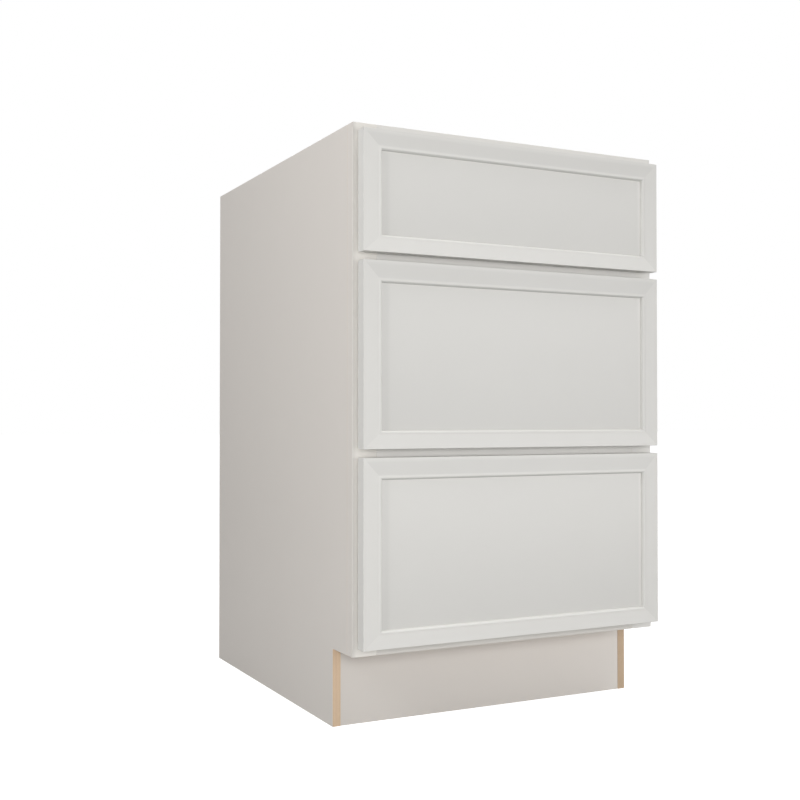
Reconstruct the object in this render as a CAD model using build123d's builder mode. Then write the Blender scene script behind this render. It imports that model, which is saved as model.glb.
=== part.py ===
from build123d import *
import os

# A kitchen base cabinet with a face frame and three drawers. All sizes are millimetres.
# +Z is up and the drawers open towards -Y. The origin is on the floor, at the middle of the footprint.

# Carcass
cabinet_width = 533.4
cabinet_depth = 609.6  # from the wall to the front of the face frame
cabinet_height = 876.3
end_panel_thickness = 12.7
floor_thickness = 12.7
back_thickness = 12.7
dado_depth = 6.35  # how far the floor and the back are let into the end panels
toe_kick_height = 114.3
toe_kick_recess = 69.85
toe_board_thickness = 12.7
toe_board_setback = 1.0
hanging_rail_height = 88.9
hanging_rail_thickness = 15.875

# Corner braces under the worktop
brace_leg = 95.0
brace_tip = 16.0
brace_thickness = 15.875
worktop_hole_radius = 3.0
worktop_hole_inset = 25.0

# Screws through the back
screw_radius = 2.0
screw_head_radius = 4.0
screw_head_depth = 2.4
screw_length = 28.0
screw_play = 0.15
screw_edge_distance = 60.0

# Face frame
frame_thickness = 19.05
stile_width = 38.1
rail_height = 38.1

# Drawer fronts
front_thickness = 19.05
bumper_height = 6.35
side_reveal = 5.7
top_reveal = 12.7
bottom_reveal = 12.7
front_gap = 12.0
top_front_height = 174.2
bottom_front_height = 270.5
front_stile_width = 29.8
front_top_rail_width = 31.8
front_bottom_rail_width = 26.4
top_front_rail_saving = 2.1  # how much narrower the rails of the shallow top front are
bead_width = 6.3  # on the stiles; the rails' bead is wider or narrower as they are
bead_roll = 4.0  # the part of it that rolls down to the panel
bead_rise = 0.4
panel_recess = 5.4
panel_lip = 0.6
edge_ease = 0.6
tongue_length = 9.5
tongue_thickness = 6.35
panel_play = 0.3
bumper_radius = 5.0
bumper_inset = 16.0

# Drawer boxes
box_side_thickness = 15.875
box_end_thickness = 15.875
box_bottom_thickness = 6.35
box_bottom_recess = 12.7
box_groove_depth = 6.35
box_side_gap = 5.1
box_lift = 15.0
box_head_room = 14.0
box_top_ease = 3.0
drawer_rear_room = 53.975
tail_length = 11.0
tail_pitch = 25.4
tail_neck = 12.0
tail_flare = 1.8

# Undermount runners
runner_sheet = 1.5
runner_play = 0.5
runner_side_play = 1.0
runner_setback = 2.0
runner_overrun = 13.0
cabinet_flange_height = 30.0
cabinet_lip_height = 10.0
drawer_runner_width = 32.0
intermediate_runner_shortfall = 60.0
notch_play = 3.0

# Rear sockets
socket_height = 34.0
socket_cheek_thickness = 6.0
socket_cheek_length = 35.0
socket_flange_thickness = 4.0
socket_flange_margin = 12.0

# Locking clips and their release levers
clip_width = 62.0
clip_length = 30.0
clip_ground_gap = 1.0
clip_wall = 3.0
lever_thickness = 3.0
lever_width = 12.0
lever_length = 74.0
lever_travel = 6.0
lever_play = 0.3
lever_grip_length = 20.0
lever_grip_height = 8.0

# Levels across the width
half_width = cabinet_width / 2
inner_half = half_width - end_panel_thickness
opening_half = half_width - stile_width
front_half = half_width - side_reveal
box_half = opening_half - box_side_gap
box_inner_half = box_half - box_side_thickness

# Levels from front to back
overall_depth = cabinet_depth + bumper_height + front_thickness
y_face = -overall_depth / 2
y_front_back = y_face + front_thickness
y_frame = y_front_back + bumper_height
y_frame_back = y_frame + frame_thickness
y_toe = y_frame + toe_kick_recess
y_wall = overall_depth / 2
y_back_front = y_wall - back_thickness
y_hanging = y_back_front - hanging_rail_thickness
y_box_end = y_hanging - drawer_rear_room
y_box_front = y_front_back + box_end_thickness  # inner face of the box front
y_box_back = y_box_end - box_end_thickness  # inner face of the box back

# Levels from the floor up
z_frame = toe_kick_height
z_floor = z_frame + rail_height
z_floor_under = z_floor - floor_thickness
z_bottom_front = z_frame + bottom_reveal
z_bottom_front_top = z_bottom_front + bottom_front_height
z_middle_front = z_bottom_front_top + front_gap
z_top_front_top = cabinet_height - top_reveal
z_top_front = z_top_front_top - top_front_height
z_middle_front_top = z_top_front - front_gap
z_lower_rail = z_middle_front - front_gap / 2 - rail_height / 2
z_upper_rail = z_top_front - front_gap / 2 - rail_height / 2
z_top_rail = cabinet_height - rail_height

# Each drawer: the span of its front, and the span of the opening behind it
drawers = {
    "top": ((z_top_front, z_top_front_top), (z_upper_rail + rail_height, z_top_rail)),
    "middle": ((z_middle_front, z_middle_front_top), (z_lower_rail + rail_height, z_upper_rail)),
    "bottom": ((z_bottom_front, z_bottom_front_top), (z_floor, z_lower_rail)),
}
rail_savings = {"top": top_front_rail_saving, "middle": 0, "bottom": 0}

# Runner levels, measured across the width
x_runner_outer = box_inner_half - runner_side_play
x_runner_inner = x_runner_outer - drawer_runner_width
x_intermediate_outer = x_runner_outer - runner_sheet - runner_play
x_intermediate_inner = x_runner_inner + runner_sheet + runner_play
x_lip = x_runner_inner - runner_play
x_lip_inner = x_lip - runner_sheet
x_clip_inner = x_runner_outer - clip_width

# Runner levels, from front to back
y_runner_start = y_frame + runner_setback
y_runner_end = y_box_end + runner_overrun
y_clip_end = y_box_front + clip_length
y_drawer_runner = y_clip_end + runner_play
y_intermediate_end = y_runner_end - intermediate_runner_shortfall

os.makedirs("parts", exist_ok=True)


def save(piece, node):
    piece.part.label = node
    export_step(piece.part, f"parts/{node}.step")


# A square-edged block between two planes each way
def block(x, y, z, mode=Mode.ADD):
    with Locations(((x[0] + x[1]) / 2, (y[0] + y[1]) / 2, (z[0] + z[1]) / 2)):
        Box(x[1] - x[0], y[1] - y[0], z[1] - z[0], mode=mode)


# A profile across the cabinet, drawn at its rear end and extruded towards the front
def section_at(y):
    return Plane(origin=(0, y, 0), x_dir=(1, 0, 0), z_dir=(0, -1, 0))


# A countersunk screw along its own axis, head uppermost, grown by the play of its hole
def screw_shape(play):
    shank = screw_radius + play
    head = screw_head_radius + play
    with BuildPart() as screw:
        with BuildSketch(Plane.XZ):
            with BuildLine():
                Polyline(
                    (0, 0),
                    (head, 0),
                    (shank, -screw_head_depth - play),
                    (shank, -screw_length - play),
                    (0, -screw_length - play),
                    close=True,
                )
            make_face()
        revolve(axis=Axis.Z)
    return screw.part


# Screws through the back, into the hanging rail and the edge of the floor
screw = screw_shape(0)
screw_hole = screw_shape(screw_play)
x_screw = inner_half - screw_edge_distance
z_screws = ((z_floor_under + z_floor) / 2, cabinet_height - hanging_rail_height / 2)
back_screw_places = [
    Location((x, y_wall, z), (-90, 0, 0))
    for z in z_screws
    for x in (-x_screw, 0, x_screw)
]

with BuildPart() as back_screws:
    with Locations(*back_screw_places):
        add(screw)
save(back_screws, "back_screws")

# End panels, notched for the toe kick, housed for the floor and rebated for the back
with BuildPart() as left_end_panel:
    with BuildSketch(Plane.YZ.offset(-half_width)):
        with BuildLine():
            Polyline(
                (y_frame_back, toe_kick_height),
                (y_frame_back, cabinet_height),
                (y_wall, cabinet_height),
                (y_wall, 0),
                (y_toe, 0),
                (y_toe, toe_kick_height),
                close=True,
            )
        make_face()
    extrude(amount=end_panel_thickness)
    housing = (-inner_half - dado_depth, -inner_half)
    block(housing, (y_frame_back, y_back_front), (z_floor_under, z_floor), Mode.SUBTRACT)
    block(housing, (y_back_front, y_wall), (0, cabinet_height), Mode.SUBTRACT)
save(left_end_panel, "left_end_panel")

with BuildPart() as right_end_panel:
    add(left_end_panel.part)
    mirror(about=Plane.YZ, mode=Mode.REPLACE)
save(right_end_panel, "right_end_panel")

housed_span = (-inner_half - dado_depth, inner_half + dado_depth)
inner_span = (-inner_half, inner_half)

with BuildPart() as cabinet_floor:
    block(housed_span, (y_frame_back, y_back_front), (z_floor_under, z_floor))
    with Locations(*back_screw_places):
        add(screw_hole, mode=Mode.SUBTRACT)
save(cabinet_floor, "cabinet_floor")

with BuildPart() as back_panel:
    block(housed_span, (y_back_front, y_wall), (0, cabinet_height))
    with Locations(*back_screw_places):
        add(screw_hole, mode=Mode.SUBTRACT)
save(back_panel, "back_panel")

with BuildPart() as hanging_rail:
    block(inner_span, (y_hanging, y_back_front), (cabinet_height - hanging_rail_height, cabinet_height))
    with Locations(*back_screw_places):
        add(screw_hole, mode=Mode.SUBTRACT)
save(hanging_rail, "hanging_rail")

y_toe_board = y_toe + toe_board_setback
with BuildPart() as toe_kick_board:
    block(inner_span, (y_toe_board, y_toe_board + toe_board_thickness), (0, z_floor_under))
save(toe_kick_board, "toe_kick_board")

# Corner braces: triangles with blunt tips, each with a hole for a worktop screw
brace_corners = ((y_frame_back, 1), (y_hanging, -1))
with BuildPart() as corner_braces:
    with BuildSketch(Plane.XY.offset(cabinet_height - brace_thickness)):
        for y, inward in brace_corners:
            with BuildLine():
                Polyline(
                    (inner_half, y),
                    (inner_half, y + inward * brace_leg),
                    (inner_half - brace_tip, y + inward * brace_leg),
                    (inner_half - brace_leg, y + inward * brace_tip),
                    (inner_half - brace_leg, y),
                    close=True,
                )
            make_face()
            with Locations((inner_half - worktop_hole_inset, y + inward * worktop_hole_inset)):
                Circle(worktop_hole_radius, mode=Mode.SUBTRACT)
    extrude(amount=brace_thickness)
    mirror(about=Plane.YZ)
save(corner_braces, "corner_braces")

# Face frame
frame_span = (y_frame, y_frame_back)
stile_spans = {
    "frame_left_stile": (-half_width, -opening_half),
    "frame_right_stile": (opening_half, half_width),
}
for node, x in stile_spans.items():
    with BuildPart() as stile:
        block(x, frame_span, (z_frame, cabinet_height))
    save(stile, node)

rail_levels = {
    "frame_top_rail": z_top_rail,
    "frame_upper_middle_rail": z_upper_rail,
    "frame_lower_middle_rail": z_lower_rail,
    "frame_bottom_rail": z_frame,
}
for node, z in rail_levels.items():
    with BuildPart() as rail:
        block((-opening_half, opening_half), frame_span, (z, z + rail_height))
    save(rail, node)

# Bumpers on the stiles, behind the corners of every drawer front
x_bumper = front_half - bumper_inset
with BuildPart() as front_bumpers:
    with BuildSketch(section_at(y_frame)):
        for (z_low, z_high), opening in drawers.values():
            for z in (z_low + bumper_inset, z_high - bumper_inset):
                with Locations((-x_bumper, z), (x_bumper, z)):
                    Circle(bumper_radius)
    extrude(amount=bumper_height)
save(front_bumpers, "front_bumpers")

# Cabinet members of the runners: a tall flange on the stile, a base on the rail and a low inner lip
with BuildPart() as cabinet_runners:
    with BuildSketch(section_at(y_runner_end)):
        for front, (z, head) in drawers.values():
            with BuildLine():
                Polyline(
                    (opening_half, z),
                    (opening_half, z + cabinet_flange_height),
                    (opening_half - runner_sheet, z + cabinet_flange_height),
                    (opening_half - runner_sheet, z + runner_sheet),
                    (x_lip, z + runner_sheet),
                    (x_lip, z + cabinet_lip_height),
                    (x_lip_inner, z + cabinet_lip_height),
                    (x_lip_inner, z),
                    close=True,
                )
            make_face()
    extrude(amount=y_runner_end - y_runner_start)
    mirror(about=Plane.YZ)
save(cabinet_runners, "cabinet_runners")

# Rear sockets: a body behind each runner's end, a cheek beside it and a flange on the back
x_cheek = opening_half + socket_cheek_thickness
with BuildPart() as rear_sockets:
    for front, (z, head) in drawers.values():
        height = (z, z + socket_height)
        block((x_lip_inner, x_cheek), (y_runner_end, y_back_front), height)
        block((opening_half, x_cheek), (y_runner_end - socket_cheek_length, y_runner_end), height)
        block(
            (x_lip_inner - socket_flange_margin, x_cheek + socket_flange_margin),
            (y_back_front - socket_flange_thickness, y_back_front),
            (z, z + socket_height + socket_flange_margin),
        )
    mirror(about=Plane.YZ)
save(rear_sockets, "rear_sockets")


# One member of a drawer front: a flat face, a bead that rolls down to the panel, and the panel's groove
def front_member(corner, inward, run, length, width):
    share = width / front_stile_width
    flat = width - bead_width * share
    crest = width - bead_roll * share
    ease = edge_ease * share
    flat_level = front_thickness - bead_rise
    lip = front_thickness - panel_recess
    roll_foot = lip + panel_lip
    with BuildPart() as member:
        with BuildSketch(Plane(origin=corner, x_dir=inward, z_dir=run)):
            with BuildLine():
                EllipticalCenterArc((crest, roll_foot), width - crest, front_thickness - roll_foot)
                EllipticalCenterArc((ease, flat_level - edge_ease), ease, edge_ease, start_angle=90)
                Polyline((ease, flat_level), (flat, flat_level), (crest, front_thickness))
                Polyline(
                    (width, roll_foot),
                    (width, lip),
                    (width - tongue_length, lip),
                    (width - tongue_length, lip - tongue_thickness),
                    (width, lip - tongue_thickness),
                    (width, 0),
                    (0, 0),
                    (0, flat_level - edge_ease),
                )
            make_face()
        extrude(amount=length)
    return member.part


# The five pieces of one drawer front: four members mitred at the corners, and the panel in their grooves
def make_front(drawer, low, high):
    left, right, up, down = (-1, 0, 0), (1, 0, 0), (0, 0, 1), (0, 0, -1)
    width, height = 2 * front_half, high - low
    top_width = front_top_rail_width - rail_savings[drawer]
    bottom_width = front_bottom_rail_width - rail_savings[drawer]
    sight_half = front_half - front_stile_width
    outer = ((-front_half, low), (front_half, low), (front_half, high), (-front_half, high))
    inner = (
        (-sight_half, low + bottom_width),
        (sight_half, low + bottom_width),
        (sight_half, high - top_width),
        (-sight_half, high - top_width),
    )
    members = {
        "bottom_rail": (up, right, width, bottom_width),
        "right_stile": (left, up, height, front_stile_width),
        "top_rail": (down, left, width, top_width),
        "left_stile": (right, down, height, front_stile_width),
    }
    for start, (piece, member) in enumerate(members.items()):
        end = (start + 1) % len(outer)
        x, z = outer[start]
        with BuildPart() as mitred:
            add(front_member((x, y_front_back, z), *member))
            with BuildSketch(section_at(y_front_back)):
                Polygon(outer[start], outer[end], inner[end], inner[start], align=None)
            extrude(amount=front_thickness, mode=Mode.INTERSECT)
        save(mitred, f"{drawer}_front_{piece}")

    y_panel = y_face + panel_recess
    layers = {panel_play: y_front_back, panel_play - tongue_length: y_panel + tongue_thickness}
    with BuildPart() as front_panel:
        for play, y_rear in layers.items():
            panel_half = sight_half - play
            block(
                (-panel_half, panel_half),
                (y_panel, y_rear),
                (low + bottom_width + play, high - top_width - play),
            )
    save(front_panel, f"{drawer}_front_panel")


# The five boards of one drawer box, with tails on the sides let into the front and the back
def make_box(drawer, low, high):
    bottom_span = (
        (-box_inner_half - box_groove_depth, box_inner_half + box_groove_depth),
        (y_box_front - box_groove_depth, y_box_back + box_groove_depth),
        (low + box_bottom_recess, low + box_bottom_recess + box_bottom_thickness),
    )
    tail_count = max(1, round((high - low) / tail_pitch))
    tail_step = (high - low) / tail_count
    tail_levels = [low + (i + 0.5) * tail_step for i in range(tail_count)]
    with BuildPart() as rim:
        block((-box_half, box_half), (y_front_back, y_box_end), (low, high))
        block((-box_inner_half, box_inner_half), (y_box_front, y_box_back), (low, high), Mode.SUBTRACT)
        fillet(rim.faces().sort_by(Axis.Z)[-1].edges(), radius=box_top_ease)

    def tails(root, tip):
        neck = tail_neck / 2
        for z in tail_levels:
            Polygon(
                (root, z - neck),
                (root, z + neck),
                (tip, z + neck + tail_flare),
                (tip, z - neck - tail_flare),
                align=None,
            )

    ends = {"front": (y_box_front, -1), "back": (y_box_back, 1)}
    for side, x in {"left": -box_half, "right": box_inner_half}.items():
        with BuildPart() as box_side:
            block((x, x + box_side_thickness), (y_box_front, y_box_back), (low, high))
            with BuildSketch(Plane.YZ.offset(x)):
                for root, outward in ends.values():
                    tails(root, root + outward * tail_length)
            extrude(amount=box_side_thickness)
            block(*bottom_span, Mode.SUBTRACT)
            add(rim.part, mode=Mode.INTERSECT)
        save(box_side, f"{drawer}_box_{side}_side")

    for end, (root, outward) in ends.items():
        y_outer = root + outward * box_end_thickness
        with BuildPart() as box_end:
            block((-box_half, box_half), (min(root, y_outer), max(root, y_outer)), (low, high))
            for x in (-box_half, box_inner_half):
                with BuildSketch(Plane.YZ.offset(x)):
                    tails(root, root + outward * tail_length)
                extrude(amount=box_side_thickness, mode=Mode.SUBTRACT)
            block(*bottom_span, Mode.SUBTRACT)
            add(rim.part, mode=Mode.INTERSECT)
            if end == "back":
                notch = ((root, y_outer), (low, low + box_bottom_recess))
                block((x_runner_inner - notch_play, box_inner_half), *notch, Mode.SUBTRACT)
                block((-box_inner_half, notch_play - x_runner_inner), *notch, Mode.SUBTRACT)
        save(box_end, f"{drawer}_box_{end}")

    with BuildPart() as box_bottom:
        block(*bottom_span)
    save(box_bottom, f"{drawer}_box_bottom")


# The moving members of one drawer's runners: the intermediate pair nests inside the pair under the drawer
def make_runners(drawer, base, low):
    seat = low + box_bottom_recess
    with BuildPart() as drawer_runners:
        with BuildSketch(section_at(y_box_end)):
            with BuildLine():
                Polyline(
                    (x_runner_inner, base + cabinet_lip_height + runner_play),
                    (x_runner_inner, seat),
                    (x_runner_outer, seat),
                    (x_runner_outer, base + cabinet_lip_height + runner_play),
                    (x_runner_outer - runner_sheet, base + cabinet_lip_height + runner_play),
                    (x_runner_outer - runner_sheet, seat - runner_sheet),
                    (x_runner_inner + runner_sheet, seat - runner_sheet),
                    (x_runner_inner + runner_sheet, base + cabinet_lip_height + runner_play),
                    close=True,
                )
            make_face()
        extrude(amount=y_box_end - y_drawer_runner)
        mirror(about=Plane.YZ)
    save(drawer_runners, f"{drawer}_drawer_runners")

    foot = base + runner_sheet + runner_play
    crown = seat - runner_sheet - runner_play
    with BuildPart() as intermediate_runners:
        with BuildSketch(section_at(y_intermediate_end)):
            with BuildLine():
                Polyline(
                    (x_intermediate_inner, foot),
                    (x_intermediate_inner, crown),
                    (x_intermediate_outer, crown),
                    (x_intermediate_outer, foot),
                    (x_intermediate_outer - runner_sheet, foot),
                    (x_intermediate_outer - runner_sheet, crown - runner_sheet),
                    (x_intermediate_inner + runner_sheet, crown - runner_sheet),
                    (x_intermediate_inner + runner_sheet, foot),
                    close=True,
                )
            make_face()
        extrude(amount=y_intermediate_end - y_drawer_runner)
        mirror(about=Plane.YZ)
    save(intermediate_runners, f"{drawer}_intermediate_runners")


# The locking clips in front of one drawer's runners, and the levers that slide in their slots
def make_clips(drawer, low):
    clip_low, clip_high = low + clip_ground_gap, low + box_bottom_recess
    slot_low = clip_low + clip_wall
    slot = (slot_low, slot_low + lever_thickness + 2 * lever_play)
    y_slot_end = y_clip_end - clip_wall
    y_slot = y_slot_end - lever_width - lever_travel - 2 * lever_play
    with BuildPart() as locking_clips:
        block((x_clip_inner, x_runner_outer), (y_box_front, y_clip_end), (clip_low, clip_high))
        block((x_clip_inner, x_runner_outer - clip_wall), (y_slot, y_slot_end), slot, Mode.SUBTRACT)
        mirror(about=Plane.YZ)
    save(locking_clips, f"{drawer}_locking_clips")

    x_lever = x_runner_outer - clip_wall - lever_play
    x_grip = x_lever - lever_length
    lever_y = (y_slot_end - lever_play - lever_width, y_slot_end - lever_play)
    lever_z = (slot_low + lever_play, slot_low + lever_play + lever_thickness)
    with BuildPart() as release_levers:
        block((x_grip, x_lever), lever_y, lever_z)
        block((x_grip - lever_grip_length, x_grip), lever_y, (clip_low, clip_low + lever_grip_height))
        mirror(about=Plane.YZ)
    save(release_levers, f"{drawer}_release_levers")


for drawer, (front, (base, head)) in drawers.items():
    box_low = base + box_lift
    make_front(drawer, *front)
    make_box(drawer, box_low, head - box_head_room)
    make_runners(drawer, base, box_low)
    make_clips(drawer, box_low)
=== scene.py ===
import bpy
import math
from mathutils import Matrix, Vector


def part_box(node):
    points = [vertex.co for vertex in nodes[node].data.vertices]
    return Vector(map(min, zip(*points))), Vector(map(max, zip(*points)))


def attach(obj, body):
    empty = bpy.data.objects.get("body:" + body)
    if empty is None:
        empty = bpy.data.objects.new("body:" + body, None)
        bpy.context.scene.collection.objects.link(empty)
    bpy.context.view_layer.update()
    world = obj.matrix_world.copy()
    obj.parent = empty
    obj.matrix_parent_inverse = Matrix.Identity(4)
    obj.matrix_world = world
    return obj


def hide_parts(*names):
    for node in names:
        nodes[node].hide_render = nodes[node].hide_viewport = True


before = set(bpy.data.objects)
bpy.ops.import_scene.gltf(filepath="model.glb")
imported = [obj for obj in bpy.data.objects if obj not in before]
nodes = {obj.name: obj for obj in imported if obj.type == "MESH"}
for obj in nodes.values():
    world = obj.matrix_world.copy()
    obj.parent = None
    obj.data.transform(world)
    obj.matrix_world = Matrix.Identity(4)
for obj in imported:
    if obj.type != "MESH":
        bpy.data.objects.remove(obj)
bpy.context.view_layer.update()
drawerNames = ("top", "middle", "bottom")
print("frame loaded:", len(nodes), "pieces")


# A number that changes over a surface: sums on it are written as sums and become Math nodes
class Amount:
    def __init__(self, finish, socket):
        self.finish = finish
        self.socket = socket

    def worked(self, operation, *terms):
        return self.finish.add("Math", {"operation": operation}, dict(enumerate(terms)))

    def __add__(self, other):
        return self.worked("ADD", self, other)

    def __radd__(self, other):
        return self.worked("ADD", other, self)

    def __sub__(self, other):
        return self.worked("SUBTRACT", self, other)

    def __rsub__(self, other):
        return self.worked("SUBTRACT", other, self)

    def __mul__(self, other):
        return self.worked("MULTIPLY", self, other)

    def __rmul__(self, other):
        return self.worked("MULTIPLY", other, self)

    def __mod__(self, other):
        return self.worked("FLOORED_MODULO", self, other)

    def __rmod__(self, other):
        return self.worked("FLOORED_MODULO", other, self)

    def __gt__(self, other):
        return self.worked("GREATER_THAN", self, other)

    def __lt__(self, other):
        return self.worked("LESS_THAN", self, other)

    def __abs__(self):
        return self.worked("ABSOLUTE", self)


halfWay = 0.5
waveRate = 10  # radians of Blender's diagonal bands in a unit of length, at scale 1


# The node tree of a material or of the world
class Finish:
    def __init__(self, owner):
        owner.use_nodes = True
        self.owner = owner
        self.tree = owner.node_tree
        self.tree.nodes.clear()

    def add(self, kind, settings=None, sockets=None, output=0):
        node = self.tree.nodes.new("ShaderNode" + kind)
        for setting, value in (settings or {}).items():
            setattr(node, setting, value)
        for socket, value in (sockets or {}).items():
            if isinstance(value, Amount):
                self.tree.links.new(value.socket, node.inputs[socket])
            else:
                node.inputs[socket].default_value = value
        if node.outputs:
            return Amount(self, node.outputs[output])

    # where a point of the surface is on the cabinet, in metres
    def place(self):
        return self.add("TexCoord", output="Object")

    def along(self, axis):
        return self.add("SeparateXYZ", {}, {0: self.place()}, axis)

    # 1 where the surface faces along an axis of the cabinet: forwards, backwards (-1) or either way (0)
    def facing(self, axis, way=0):
        normal = self.add("TexCoord", output="Normal")
        part = self.add("SeparateXYZ", {}, {0: normal}, axis)
        share = part * way if way else abs(part)
        return share > halfWay

    def stretched(self, stretch):
        return self.add("VectorMath", {"operation": "MULTIPLY"}, {0: self.place(), 1: stretch})

    def noise(self, scale, stretch=(1, 1, 1), detail=2.0):
        spot = self.stretched(stretch)
        return self.add("TexNoise", {}, {"Vector": spot, "Scale": scale, "Detail": detail})

    # wavy stripes, one gap apart
    def bands(self, gap, stretch, waviness):
        sockets = {
            "Vector": self.stretched(stretch),
            "Scale": 2 * math.pi / (waveRate * gap),
            "Distortion": waviness,
        }
        return self.add("TexWave", {"bands_direction": "DIAGONAL"}, sockets, "Fac")

    def between(self, amount, low, high):
        sockets = {"Value": amount, "From Min": low, "From Max": high}
        return self.add("MapRange", {"clamp": True}, sockets)

    def mix(self, amount, first, second):
        sockets = {0: amount, 6: first, 7: second}
        return self.add("Mix", {"data_type": "RGBA"}, sockets, 2)

    # one look over another, where cover is 1
    def over(self, cover, top, under):
        return {
            "colour": self.mix(cover, under["colour"], top["colour"]),
            "rough": under["rough"] + (top["rough"] - under["rough"]) * cover,
            "height": under["height"] + (top["height"] - under["height"]) * cover,
        }

    # heights are in metres
    def surface(self, look, **sockets):
        bump = self.add("Bump", {}, {"Strength": 1.0, "Distance": 1.0, "Height": look["height"]})
        inputs = {"Base Color": look["colour"], "Roughness": look["rough"], "Normal": bump}
        shader = self.add("BsdfPrincipled", {}, {**inputs, **sockets})
        self.add("OutputMaterial", {}, {"Surface": shader})
        return self.owner


def newFinish(name):
    return Finish(bpy.data.materials.new(name))


def shade(colour, factor=1.0):
    return (colour[0] * factor, colour[1] * factor, colour[2] * factor, 1.0)


def dress(material, *names):
    for name in names:
        mesh = nodes[name].data
        mesh.materials.clear()
        mesh.materials.append(material)


easing = {
    "merge": 0.000001,
    "segments": 2,
    "angle": 40,
    "painted": 0.0005,
    "steel": 0.0004,
    "plastic": 0.0007,
    "rubber": 0.0012,
}


# Takes the sharpness off the edges of some nodes
def ease(kind, *names):
    for name in names:
        weld = nodes[name].modifiers.new("mergedCorners", "WELD")
        weld.merge_threshold = easing["merge"]
        soft = nodes[name].modifiers.new("easedEdges", "BEVEL")
        soft.width = easing[kind]
        soft.segments = easing["segments"]
        soft.limit_method = "ANGLE"
        soft.angle_limit = math.radians(easing["angle"])


# Sprayed satin paint, with the slight peel of a spray gun
paint = {
    "frontCoat": (0.700, 0.690, 0.662),
    "carcassCoat": (0.729, 0.690, 0.647),  # a touch warmer
    # coats for the face frame's front: a paler one, painted light that lifts the shade in the gaps, and a
    # darker one, painted shade where the fronts shade the frame
    "paintedLightFrameCoat": (0.750, 0.735, 0.705),
    "paintedShadeFrameCoat": (0.668, 0.645, 0.607),
    "toneChange": 0.008,
    "toneSize": 0.15,
    "rough": 0.46,
    "roughChange": 0.08,
    "roughSize": 0.03,
    "peelSize": 0.0018,
    "peelDepth": 0.000010,
    "grainSize": 0.0012,  # what shows of the wood through the paint
    "grainStretch": 0.02,
    "grainDepth": 0.000006,
    "grainTone": 0.006,
    "grainShade": 0.5,
}


def paintLook(finish, coat, along=None):
    cloud = finish.noise(1 / paint["toneSize"])
    peel = finish.noise(1 / paint["peelSize"], detail=1.0)
    mottle = finish.noise(1 / paint["roughSize"])
    change = paint["toneChange"]
    colour = finish.mix(cloud, shade(paint[coat], 1 - change), shade(paint[coat], 1 + change))
    height = peel * paint["peelDepth"]
    if along is not None:
        stretch = [1.0, 1.0, 1.0]
        stretch[along] = paint["grainStretch"]
        grain = finish.noise(1 / paint["grainSize"], stretch)
        height = height + grain * paint["grainDepth"]
        colour = finish.mix(grain * paint["grainTone"], colour, shade(paint[coat], paint["grainShade"]))
    return {
        "colour": colour,
        "rough": paint["rough"] + (mottle - halfWay) * paint["roughChange"],
        "height": height,
    }


# Drawer fronts: one paint, with painted light and shade on it: the coat is made lighter or darker across a
# piece and from front to front, where light falls more or less
drawerPaintedShading = {"top": 1.025, "middle": 0.985, "bottom": 1.01}
# outer is the way to a member's outer edge. Its painted light and shade run outwards: roll, bead, flat, rim:
# a painted shadow on the top rail's roll, painted highlights on the bottom rail's roll and the top rail's
# bead and rim, and the stiles' rolls lighter or darker by the side the light comes from.
frontMembers = {
    "top_rail": {"axis": 2, "outer": 1, "paintedShading": (0.76, 1.02, 0.92, 0.985)},
    "bottom_rail": {"axis": 2, "outer": -1, "paintedShading": (1.09, 1.03, 1.03, 1.03)},
    "left_stile": {"axis": 0, "outer": -1, "paintedShading": (1.12, 0.995, 0.99, 0.985)},
    "right_stile": {"axis": 0, "outer": 1, "paintedShading": (0.92, 0.965, 0.97, 0.97)},
}
# where one painted shade or highlight fades into the next
paintedShadingZones = {  # where one tone fades into the next
    "roll": (0.0015, 0.0032),  # from the inner edge
    "bead": (0.0050, 0.0075),
    "rim": (0.007, 0.003),  # from the outer edge
}
# painted light and shade on each panel: a lighter head and darker foot, a painted shadow along the left stile
# and a painted highlight along the right stile
panelPaintedShading = {
    "head": 1.018,
    "foot": 0.885,
    "shade": 0.055,  # along the left stile
    "shadeReach": (0.009, 0.015),
    "paintedHighlight": 0.08,  # along the right stile
    "paintedHighlightReach": (0.006, 0.002),
}


def toned(finish, look, tone):
    colour = finish.add("VectorMath", {"operation": "SCALE"}, {0: look["colour"], "Scale": tone})
    return {**look, "colour": colour}


def memberFinish(drawer, piece):
    node = f"{drawer}_front_{piece}"
    member = frontMembers[piece]
    axis, outer = member["axis"], member["outer"]
    low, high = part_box(node)
    inner = low[axis] if outer > 0 else high[axis]
    width = high[axis] - low[axis]
    finish = newFinish(node + "Paint")
    outwards = (finish.along(axis) - inner) * outer
    roll, bead, flat, rim = [tone * drawerPaintedShading[drawer] for tone in member["paintedShading"]]
    rimStart, rimEnd = [width - reach for reach in paintedShadingZones["rim"]]
    # painted light and shade: the coat's tone steps from the roll to the bead, the flat and the rim
    tone = roll + finish.between(outwards, *paintedShadingZones["roll"]) * (bead - roll)
    tone = tone + finish.between(outwards, *paintedShadingZones["bead"]) * (flat - bead)
    tone = tone + finish.between(outwards, rimStart, rimEnd) * (rim - flat)
    return finish.surface(toned(finish, paintLook(finish, "frontCoat"), tone))


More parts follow.
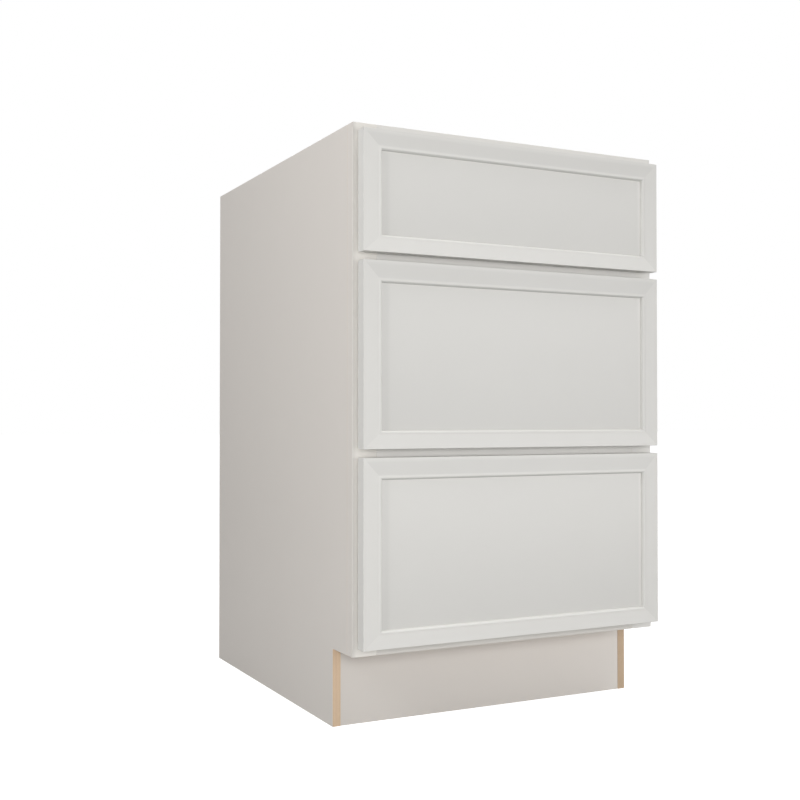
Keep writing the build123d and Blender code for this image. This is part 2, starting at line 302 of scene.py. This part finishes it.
# The panel's coat fades a little towards its foot as painted shade, and it is deeper along one stile as a
# painted shadow and paler along the other as a painted highlight
def panelFinish(drawer):
    node = drawer + "_front_panel"
    low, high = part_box(node)
    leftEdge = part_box(drawer + "_front_left_stile")[1].x
    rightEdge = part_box(drawer + "_front_right_stile")[0].x
    head, foot = [panelPaintedShading[end] * drawerPaintedShading[drawer] for end in ("head", "foot")]
    finish = newFinish(node + "Paint")
    x = finish.along(0)
    rise = finish.between(finish.along(2), low.z, high.z)
    # painted shadow of the left stile and painted highlight beside the right stile, across the panel
    clear = finish.between(x, *[leftEdge + reach for reach in panelPaintedShading["shadeReach"]])
    lifted = finish.between(x, *[rightEdge - reach for reach in panelPaintedShading["paintedHighlightReach"]])
    across = 1 - panelPaintedShading["shade"] + clear * panelPaintedShading["shade"] + lifted * panelPaintedShading["paintedHighlight"]
    tone = (foot + rise * (head - foot)) * across
    return finish.surface(toned(finish, paintLook(finish, "frontCoat"), tone))


for drawer in drawerNames:
    for piece in frontMembers:
        dress(memberFinish(drawer, piece), f"{drawer}_front_{piece}")
    dress(panelFinish(drawer), drawer + "_front_panel")
print("drawer fronts painted")

# Wood: hard maple for the drawer boxes and the frame, birch for the plywood
maple = {
    "pale": (0.745, 0.590, 0.405),
    "deep": (0.610, 0.430, 0.262),
    "stretch": 0.035,
    "ringGap": 0.011,
    "waviness": 5.0,
    "fibreSize": 0.0011,
    "cloudSize": 0.09,
    "shares": (0.35, 0.30, 0.35),  # growth rings, fibres, clouds
    "rough": 0.36,
    "roughChange": 0.14,
    "fibreDepth": 0.00002,
}
birch = {
    "pale": (0.760, 0.610, 0.430),
    "deep": (0.600, 0.430, 0.275),
    "stretch": 0.05,
    "ringGap": 0.042,
    "waviness": 9.0,
    "fibreSize": 0.0014,
    "cloudSize": 0.16,
    "shares": (0.40, 0.28, 0.32),
    "rough": 0.42,
    "roughChange": 0.15,
    "fibreDepth": 0.00002,
}


# Long grain: growth bands that wander along one axis of the cabinet, and fine fibres
def grainLook(finish, wood, along):
    stretch = [1.0, 1.0, 1.0]
    stretch[along] = wood["stretch"]
    rings = finish.bands(wood["ringGap"], stretch, wood["waviness"])
    fibre = finish.noise(1 / wood["fibreSize"], stretch)
    cloud = finish.noise(1 / wood["cloudSize"], stretch)
    ringShare, fibreShare, cloudShare = wood["shares"]
    depth = rings * ringShare + fibre * fibreShare + cloud * cloudShare
    return {
        "colour": finish.mix(depth, shade(wood["pale"]), shade(wood["deep"])),
        "rough": wood["rough"] + fibre * wood["roughChange"],
        "height": fibre * wood["fibreDepth"],
    }


# The sawn end of a solid board: darker, with closer rings
endGrain = {
    "tone": 0.72,
    "ringsPerGap": 3,
    "waviness": 1.5,
    "poresPerFibre": 2,
    "ringShare": 0.4,
    "rough": 0.55,
    "roughChange": 0.2,
}


def endGrainLook(finish, wood):
    rings = finish.bands(wood["ringGap"] / endGrain["ringsPerGap"], (1, 1, 1), endGrain["waviness"])
    pores = finish.noise(endGrain["poresPerFibre"] / wood["fibreSize"])
    depth = rings * endGrain["ringShare"] + pores * (1 - endGrain["ringShare"])
    pale, deep = [shade(wood[colour], endGrain["tone"]) for colour in ("pale", "deep")]
    return {
        "colour": finish.mix(depth, pale, deep),
        "rough": endGrain["rough"] + pores * endGrain["roughChange"],
        "height": pores * wood["fibreDepth"],
    }


# Raw edges of plywood: thin layers that alternate, with a dark line of glue between them
plywood = {
    "layer": 0.0014,
    "pale": (0.763, 0.588, 0.422),
    "deep": (0.594, 0.429, 0.285),
    "glue": (0.360, 0.230, 0.135),
    "turnedShare": 0.45,
    "glueShare": 0.35,
    "glueStart": 0.42,
    "fibreSize": 0.0009,
    "fibreDepth": 0.00004,
    "streak": 0.12,
    "rough": 0.62,
    "roughChange": 0.2,
    # painted shade: the right end panel's raw edge is darkened, as it lies in shade
    "paintedEdgeShades": {"right_end_panel": 0.84},  # the others are at 1
}


def layerLook(finish, node, across):
    low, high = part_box(node)
    thickness = high[across] - low[across]
    paintedEdgeShade = plywood["paintedEdgeShades"].get(node, 1.0)
    count = 2 * round(thickness / plywood["layer"] / 2) + 1  # always odd
    layer = (finish.along(across) - low[across]) * (count / thickness)
    turned = layer % 2 > 1
    glue = finish.between(abs(layer % 1 - halfWay), plywood["glueStart"], halfWay)
    stretch = [plywood["streak"]] * 3
    stretch[across] = 1.0
    fibre = finish.noise(1 / plywood["fibreSize"], stretch)
    share = plywood["turnedShare"]
    tone = turned * share + fibre * (1 - share)
    wood = finish.mix(tone, shade(plywood["pale"], paintedEdgeShade), shade(plywood["deep"], paintedEdgeShade))
    return {
        "colour": finish.mix(glue * plywood["glueShare"], wood, shade(plywood["glue"])),
        "rough": plywood["rough"] + fibre * plywood["roughChange"],
        "height": fibre * plywood["fibreDepth"],
    }


# Painted light and shade on a coat that grows lighter from the left, over the piece's width or over a shorter
# reach: the toe kick lighter to the right, the left stile's face darker at its outer edge and lighter towards
# the fronts
paintedLightFades = {
    "toe_kick_board": {"paintedShading": (0.92, 1.06)},
    "frame_left_stile": {"paintedShading": (0.97, 1.17), "reach": 0.006},
}


def withPaintedLight(finish, node, coat):
    if node not in paintedLightFades:
        return coat
    low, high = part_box(node)
    left, right = paintedLightFades[node]["paintedShading"]
    reach = paintedLightFades[node].get("reach", high.x - low.x)
    rise = finish.between(finish.along(0), low.x, low.x + reach)
    # painted light: the coat is scaled by a tone that rises from left to right
    return toned(finish, coat, left + rise * (right - left))


# A sheet of plywood that lies across one axis, with its face grain along another
def plywoodLook(finish, node, across, along):
    edge = layerLook(finish, node, across)
    return finish.over(finish.facing(across), grainLook(finish, birch, along), edge)


# Plywood with paint on the face that looks the given way
def plywoodFinish(node, across, along, painted=0):
    finish = newFinish(node + "Finish")
    look = plywoodLook(finish, node, across, along)
    if painted:
        coat = withPaintedLight(finish, node, paintLook(finish, "carcassCoat", along))
        look = finish.over(finish.facing(across, painted), coat, look)
    return finish.surface(look)


for node, across, along, painted in (
    ("left_end_panel", 0, 2, -1),
    ("right_end_panel", 0, 2, 1),
    ("toe_kick_board", 1, 0, -1),
    ("cabinet_floor", 2, 1, 0),
    ("back_panel", 1, 2, 0),
    ("hanging_rail", 1, 0, 0),
    ("corner_braces", 2, 0, 0),
    ("top_box_bottom", 2, 1, 0),
    ("middle_box_bottom", 2, 1, 0),
    ("bottom_box_bottom", 2, 1, 0),
):
    dress(plywoodFinish(node, across, along, painted), node)
print("plywood done")


# Face frame: painted, but bare wood behind
def frameFinish(node, along, faceCoat):
    finish = newFinish(node + "Paint")
    look = paintLook(finish, "carcassCoat", along)
    face = withPaintedLight(finish, node, paintLook(finish, faceCoat, along))
    look = finish.over(finish.facing(1, -1), face, look)
    look = finish.over(finish.facing(1, 1), grainLook(finish, maple, along), look)
    return finish.surface(look)


# the left stile and the bottom rail, shaded by the fronts, take the painted shade coat; the others the
# painted light coat
for node, along, faceCoat in (
    ("frame_left_stile", 2, "paintedShadeFrameCoat"),
    ("frame_right_stile", 2, "paintedLightFrameCoat"),
    ("frame_top_rail", 0, "paintedLightFrameCoat"),
    ("frame_upper_middle_rail", 0, "paintedLightFrameCoat"),
    ("frame_lower_middle_rail", 0, "paintedLightFrameCoat"),
    ("frame_bottom_rail", 0, "paintedShadeFrameCoat"),
):
    dress(frameFinish(node, along, faceCoat), node)


# Drawer boxes: lacquered maple, with end grain where a board is cut across
lacquer = {"Coat Weight": 0.25, "Coat Roughness": 0.3}


def boxFinish(name, along):
    finish = newFinish(name)
    cut = finish.facing(along)
    look = finish.over(cut, endGrainLook(finish, maple), grainLook(finish, maple, along))
    return finish.surface(look, **lacquer)


sideMaple = boxFinish("boxSideMaple", 1)
endMaple = boxFinish("boxEndMaple", 0)
for drawer in drawerNames:
    dress(sideMaple, drawer + "_box_left_side", drawer + "_box_right_side")
    dress(endMaple, drawer + "_box_front", drawer + "_box_back")
print("frame and drawer boxes done")

# Zinc plated steel, rolled along the runners
steel = {
    "bright": (0.70, 0.71, 0.72),
    "dull": (0.50, 0.515, 0.53),
    "rollSize": 0.0016,
    "rollStretch": 0.015,
    "rollShare": 0.4,
    "bloomSize": 0.035,
    "rough": 0.26,
    "roughChange": 0.18,
    "rollDepth": 0.000006,
}


def steelFinish():
    finish = newFinish("zincSteel")
    roll = finish.noise(1 / steel["rollSize"], (1.0, steel["rollStretch"], 1.0))
    bloom = finish.noise(1 / steel["bloomSize"], detail=4.0)
    tone = roll * steel["rollShare"] + bloom * (1 - steel["rollShare"])
    look = {
        "colour": finish.mix(tone, shade(steel["dull"]), shade(steel["bright"])),
        "rough": steel["rough"] + bloom * steel["roughChange"],
        "height": roll * steel["rollDepth"],
    }
    return finish.surface(look, Metallic=1.0)


# Moulded parts: a fine spark texture and a little flow in the colour
moulded = {
    "flowSize": 0.025,
    "flowStretch": (1.0, 0.4, 1.0),
    "flowChange": 0.12,
    "roughChange": 0.12,
    "greyPlastic": {
        "colour": (0.105, 0.110, 0.116),
        "rough": 0.48,
        "texture": 0.0006,
        "depth": 0.00002,
    },
    "orangePlastic": {
        "colour": (0.640, 0.150, 0.022),
        "rough": 0.40,
        "texture": 0.0008,
        "depth": 0.000015,
    },
    "milkyRubber": {
        "colour": (0.620, 0.610, 0.580),
        "rough": 0.30,
        "texture": 0.0015,
        "depth": 0.00001,
    },
}


def mouldedFinish(name):
    plastic = moulded[name]
    finish = newFinish(name)
    flow = finish.noise(1 / moulded["flowSize"], moulded["flowStretch"])
    spark = finish.noise(1 / plastic["texture"])
    change = moulded["flowChange"]
    look = {
        "colour": finish.mix(
            flow, shade(plastic["colour"], 1 - change), shade(plastic["colour"], 1 + change)
        ),
        "rough": plastic["rough"] + spark * moulded["roughChange"],
        "height": spark * plastic["depth"],
    }
    return finish.surface(look)


zincSteel = steelFinish()
greyPlastic = mouldedFinish("greyPlastic")
orangePlastic = mouldedFinish("orangePlastic")
dress(zincSteel, "cabinet_runners", "back_screws")
dress(greyPlastic, "rear_sockets")
dress(mouldedFinish("milkyRubber"), "front_bumpers")
for drawer in drawerNames:
    dress(zincSteel, drawer + "_drawer_runners", drawer + "_intermediate_runners")
    dress(greyPlastic, drawer + "_locking_clips")
    dress(orangePlastic, drawer + "_release_levers")

ease("painted", "left_end_panel", "right_end_panel", "toe_kick_board")
ease("painted", *[name for name in nodes if name.startswith("frame_")])
ease("steel", *[name for name in nodes if name.endswith("_runners")])
ease("plastic", *[name for name in nodes if name.endswith(("_clips", "_levers", "_sockets"))])
ease("rubber", "front_bumpers")
print("runners, clips and bumpers done")


# Screws: pan heads stand on their seat, and a countersunk head is sunk into it
screws = {
    "sides": 32,
    "recessArm": 0.0024,  # of the cross in the head
    "recessWidth": 0.0010,
    "recessDepth": 0.0018,
    "recessOvercut": 1.2,
    "recessTaper": 0.45,
    "panRound": 0.7,  # a share of the head's height
    "panSteps": 5,
    "sunkRound": 0.08,
    "sunkSteps": 2,
    "tip": 0.005,
    "tipTaper": 0.15,
    "smoothAngle": 35,
    "back": {
        "headRadius": 0.0040,
        "headHeight": 0.0,
        "sink": 0.0024,
        "shankRadius": 0.0020,
        "length": 0.028,
    },
    "front": {
        "headRadius": 0.0062,
        "headHeight": 0.0026,
        "sink": 0.0,
        "shankRadius": 0.0021,
        "length": 0.025,
    },
    "runner": {
        "headRadius": 0.0036,
        "headHeight": 0.0017,
        "sink": 0.0,
        "shankRadius": 0.0018,
        "length": 0.016,
    },
    "socket": {
        "headRadius": 0.0042,
        "headHeight": 0.0022,
        "sink": 0.0,
        "shankRadius": 0.0018,
        "length": 0.012,
    },
}
upwards = Vector((0, 0, 1))
squareOn = 0.9  # the least share of a face's normal along the way that it looks


def looksAlong(face, direction):
    return face.normal.dot(direction) > squareOn


# Goes into edit mode with only the wanted faces selected
def pickFaces(piece, wanted):
    bpy.context.view_layer.objects.active = piece
    bpy.ops.object.mode_set(mode="EDIT")
    bpy.ops.mesh.select_mode(type="FACE")
    bpy.ops.mesh.select_all(action="DESELECT")
    bpy.ops.object.mode_set(mode="OBJECT")
    for face in piece.data.polygons:
        face.select = wanted(face)
    bpy.ops.object.mode_set(mode="EDIT")


def extrudeBy(x, y, z):
    bpy.ops.mesh.extrude_region_move(TRANSFORM_OT_translate={"value": (x, y, z)})


def narrow(factor):
    bpy.ops.transform.resize(value=(factor, factor, 1), center_override=(0, 0, 0))


# A cross shaped tool that narrows towards its foot
def makeCross(top):
    width, depth = screws["recessWidth"], screws["recessDepth"]
    arm = screws["recessArm"] - width / 2
    bpy.ops.object.select_all(action="DESELECT")
    bpy.ops.mesh.primitive_cube_add(
        size=1,
        location=(0, 0, top - depth / 2),
        scale=(width, width, depth * screws["recessOvercut"]),
    )
    cross = bpy.context.object
    bpy.ops.object.transform_apply(location=True, scale=True)
    for x, y in ((1, 0), (-1, 0), (0, 1), (0, -1)):
        way = Vector((x, y, 0))
        pickFaces(cross, lambda face: looksAlong(face, way) and face.area > width * depth)
        extrudeBy(x * arm, y * arm, 0)
    pickFaces(cross, lambda face: looksAlong(face, -upwards))
    narrow(screws["recessTaper"])
    bpy.ops.object.mode_set(mode="OBJECT")
    return cross


# One screw on the Z axis: its seat is at zero, the head above it or sunk below it
def makeScrew(kind):
    screw = screws[kind]
    head, sink = screw["headHeight"], screw["sink"]
    bpy.ops.object.select_all(action="DESELECT")
    bpy.ops.mesh.primitive_cylinder_add(
        vertices=screws["sides"],
        radius=screw["headRadius"],
        depth=head + sink,
        location=(0, 0, (head - sink) / 2),
    )
    piece = bpy.context.object
    bpy.ops.object.transform_apply(location=True)
    pickFaces(piece, lambda face: looksAlong(face, upwards))
    if head:
        bpy.ops.mesh.bevel(offset=head * screws["panRound"], segments=screws["panSteps"], affect="EDGES")
    else:
        bpy.ops.mesh.bevel(offset=sink * screws["sunkRound"], segments=screws["sunkSteps"], affect="EDGES")
    pickFaces(piece, lambda face: looksAlong(face, -upwards))
    if head:
        bpy.ops.mesh.inset(thickness=screw["headRadius"] - screw["shankRadius"])
    else:
        narrow(screw["shankRadius"] / screw["headRadius"])
    extrudeBy(0, 0, sink + screws["tip"] - screw["length"])
    extrudeBy(0, 0, -screws["tip"])
    narrow(screws["tipTaper"])
    bpy.ops.object.mode_set(mode="OBJECT")
    cross = makeCross(head)
    cut = piece.modifiers.new("recess", "BOOLEAN")
    cut.object = cross
    cut.solver = "EXACT"
    bpy.context.view_layer.objects.active = piece
    bpy.ops.object.modifier_apply(modifier="recess")
    bpy.data.objects.remove(cross)
    piece.data.materials.append(zincSteel)
    return piece


# Sets copies of a screw in their places and joins them into one piece
def setScrews(kind, name, body, spots):
    pattern = makeScrew(kind)
    copies = []
    for place, turn in spots:
        copy = pattern.copy()
        copy.data = pattern.data.copy()
        copy.location = place
        copy.rotation_euler = turn
        bpy.context.collection.objects.link(copy)
        copies.append(copy)
    bpy.data.objects.remove(pattern)
    bpy.ops.object.select_all(action="DESELECT")
    for copy in copies:
        copy.select_set(True)
    piece = copies[0]
    bpy.context.view_layer.objects.active = piece
    bpy.ops.object.join()
    bpy.ops.object.transform_apply(location=True, rotation=True)
    bpy.ops.object.shade_smooth_by_angle(angle=math.radians(screws["smoothAngle"]))
    piece.name = name
    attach(piece, body)
    return piece


towardsBack = (-math.pi / 2, 0, 0)  # the head looks along +Y
towardsFront = (math.pi / 2, 0, 0)
towardsRight = (0, math.pi / 2, 0)
towardsLeft = (0, -math.pi / 2, 0)


def setBackScrews():
    low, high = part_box("back_screws")
    radius = screws["back"]["headRadius"]
    spots = [
        (Vector((x, high.y, z)), towardsBack)
        for z in (low.z + radius, high.z - radius)
        for x in (low.x + radius, 0, high.x - radius)
    ]
    piece = setScrews("back", "backScrews", "carcass", spots)
    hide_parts("back_screws")


# The drawer fronts are screwed on from inside the boxes
frontScrewPlaces = {"across": 0.28, "oneRow": (0.58,), "twoRows": (0.30, 0.78), "deepBox": 0.15}


def setFrontScrews(drawer):
    low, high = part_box(drawer + "_box_front")
    deep = high.z - low.z > frontScrewPlaces["deepBox"]
    rows = frontScrewPlaces["twoRows" if deep else "oneRow"]
    reach = (high.x - low.x) * frontScrewPlaces["across"]
    spots = [
        (Vector((x, high.y, low.z + (high.z - low.z) * row)), towardsBack)
        for row in rows
        for x in (-reach, reach)
    ]
    setScrews("front", drawer + "FrontScrews", drawer + "_drawer", spots)


# The runners are screwed to the frame in front, and their sockets to the back
runnerScrewPlaces = {"sheet": 0.0015, "rise": 0.016}
socketScrewPlaces = {"flange": 0.004, "edge": 0.006, "topInset": 0.034, "rise": 0.020, "topRise": 0.040}


def setRunnerScrews():
    runnerLow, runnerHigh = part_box("cabinet_runners")
    frameLow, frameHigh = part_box("frame_left_stile")
    socketLow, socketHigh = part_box("rear_sockets")
    x = runnerHigh.x - runnerScrewPlaces["sheet"]
    y = (frameLow.y + frameHigh.y) / 2
    socketY = socketHigh.y - socketScrewPlaces["flange"]
    runnerSpots = []
    socketSpots = []
    for drawer in drawerNames:
        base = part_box(drawer + "_intermediate_runners")[0].z
        z = base + runnerScrewPlaces["rise"]
        runnerSpots += [(Vector((x, y, z)), towardsLeft), (Vector((-x, y, z)), towardsRight)]
        for inset, rise in (("edge", "rise"), ("topInset", "topRise")):
            socketX = socketHigh.x - socketScrewPlaces[inset]
            socketZ = base + socketScrewPlaces[rise]
            for side in (-1, 1):
                socketSpots.append((Vector((side * socketX, socketY, socketZ)), towardsFront))
    setScrews("runner", "runnerScrews", "carcass", runnerSpots)
    setScrews("socket", "socketScrews", "carcass", socketSpots)


setBackScrews()
for drawer in drawerNames:
    setFrontScrews(drawer)
setRunnerScrews()
print("screws set")

# Studio: a white room, a pale floor and soft lamps
studio = {
    "ambient": 0.265,
    "floorColour": (0.50, 0.50, 0.50),
    "floorGrain": 0.002,
    "floorChange": 0.03,
    "floorRough": 0.9,
    "floorGlow": 0.97,
    "floorSize": 60.0,
    "aim": (0.0, -0.1, 0.44),
    "lampDistance": 2.4,
    "lampSize": 0.8,
    "lamps": {  # turn from the front to the right, rise above level, watts
        "frontLamp": (-28, 3, 20.6),
        "rightLamp": (33, 3, 11.8),
        "leftLamp": (-75, 30, 15.9),
        "backLeftLamp": (-105, 30, 4.7),
        "highRightLamp": (75, 65, 25.0),
        "backLamp": (165, 35, 10.0),
    },
}


def makeRoom():
    world = bpy.data.worlds.new("whiteRoom")
    bpy.context.scene.world = world
    finish = Finish(world)
    room = finish.add("Background", {}, {"Color": (1, 1, 1, 1), "Strength": studio["ambient"]})
    white = finish.add("Background", {}, {"Color": (1, 1, 1, 1), "Strength": 1.0})
    seen = finish.add("LightPath", output="Is Camera Ray")
    both = finish.add("MixShader", {}, {0: seen, 1: room, 2: white})
    finish.add("OutputWorld", {}, {"Surface": both})


def makeFloor():
    bpy.ops.object.select_all(action="DESELECT")
    bpy.ops.mesh.primitive_plane_add(size=studio["floorSize"])
    floor = bpy.context.object
    floor.name = "studioFloor"
    finish = newFinish("paleFloor")
    grain = finish.noise(1 / studio["floorGrain"])
    change = studio["floorChange"]
    pale, paler = [shade(studio["floorColour"], factor) for factor in (1 - change, 1 + change)]
    colour = finish.mix(grain, pale, paler)
    matt = finish.add("BsdfPrincipled", {}, {"Base Color": colour, "Roughness": studio["floorRough"]})
    bright = finish.add("Emission", {}, {"Color": (1, 1, 1, 1), "Strength": studio["floorGlow"]})
    lit = finish.add("AddShader", {}, {0: matt, 1: bright})
    seen = finish.add("LightPath", output="Is Camera Ray")
    both = finish.add("MixShader", {}, {0: seen, 1: matt, 2: lit})
    finish.add("OutputMaterial", {}, {"Surface": both})
    floor.data.materials.append(finish.owner)


def makeLamps():
    aim = Vector(studio["aim"])
    for name, (turn, rise, watts) in studio["lamps"].items():
        around, up = math.radians(turn), math.radians(rise)
        level = math.cos(up)
        away = Vector((math.sin(around) * level, -math.cos(around) * level, math.sin(up)))
        look = (-away).to_track_quat("-Z", "Y").to_euler()
        bpy.ops.object.light_add(type="AREA", location=aim + away * studio["lampDistance"], rotation=look)
        lamp = bpy.context.object
        lamp.name = name
        lamp.data.size = studio["lampSize"]
        lamp.data.energy = watts
        lamp.visible_camera = False


# Camera of the photograph
cameraView = {
    "place": (-0.9309, -1.7520, 0.4520),
    "turn": 26.87,
    "rise": 0.97,
    "lens": 50.805,
    "sensor": 36.0,
}


def makeCamera():
    turn = (math.radians(90 + cameraView["rise"]), 0, -math.radians(cameraView["turn"]))
    bpy.ops.object.camera_add(location=cameraView["place"], rotation=turn)
    camera = bpy.context.object
    camera.name = "photoCamera"
    camera.data.sensor_width = cameraView["sensor"]
    camera.data.lens = cameraView["lens"]
    bpy.context.scene.camera = camera


makeRoom()
makeFloor()
makeLamps()
makeCamera()
bpy.context.scene.view_settings.view_transform = "Standard"
print("studio ready")
